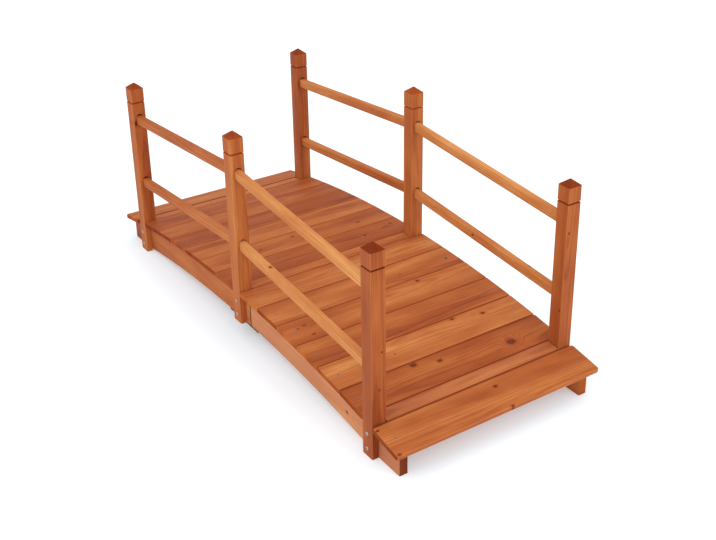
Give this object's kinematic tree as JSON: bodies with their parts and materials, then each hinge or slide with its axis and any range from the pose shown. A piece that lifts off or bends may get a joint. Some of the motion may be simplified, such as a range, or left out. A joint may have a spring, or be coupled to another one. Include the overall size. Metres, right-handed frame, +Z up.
{
  "type": "moon bridge",
  "caption": "Small arched timber garden bridge with a slatted deck, lapped side beams and post-and-rail sides.",
  "frame": {"origin": "on the ground under the middle of the deck", "axes": "+X along the walkway towards the near end, +Y across it towards the right railing, +Z up"},
  "size_m": [1.501, 0.612, 0.6],
  "materials": {
    "beam_fir": "stained, satin",
    "post_fir": "stained, satin",
    "rail_fir": "stained, satin",
    "deck_fir": "stained, satin",
    "black_steel": "satin black",
    "zinc_steel": "zinc plated"
  },
  "bodies": {
    "root": {"near_left_beam": "beam_fir", "far_left_beam": "beam_fir", "left_joint_plate": "black_steel", "near_left_post": "post_fir", "middle_left_post": "post_fir", "far_left_post": "post_fir", "near_left_upper_rail": "rail_fir", "near_left_lower_rail": "rail_fir", "far_left_upper_rail": "rail_fir", "far_left_lower_rail": "rail_fir", "near_right_beam": "beam_fir", "far_right_beam": "beam_fir", "right_joint_plate": "black_steel", "near_right_post": "post_fir", "middle_right_post": "post_fir", "far_right_post": "post_fir", "near_right_upper_rail": "rail_fir", "near_right_lower_rail": "rail_fir", "far_right_upper_rail": "rail_fir", "far_right_lower_rail": "rail_fir", "near_slat_1": "deck_fir", "near_slat_2": "deck_fir", "near_slat_3": "deck_fir", "near_slat_4": "deck_fir", "near_slat_5": "deck_fir", "near_slat_6": "deck_fir", "near_end_board": "deck_fir", "far_slat_1": "deck_fir", "far_slat_2": "deck_fir", "far_slat_3": "deck_fir", "far_slat_4": "deck_fir", "far_slat_5": "deck_fir", "far_slat_6": "deck_fir", "far_end_board": "deck_fir", "near_short_slat": "deck_fir", "near_cross_tie": "beam_fir", "middle_short_slat": "deck_fir", "middle_cross_tie": "beam_fir", "far_short_slat": "deck_fir", "far_cross_tie": "beam_fir"}
  },
  "joints": []
}
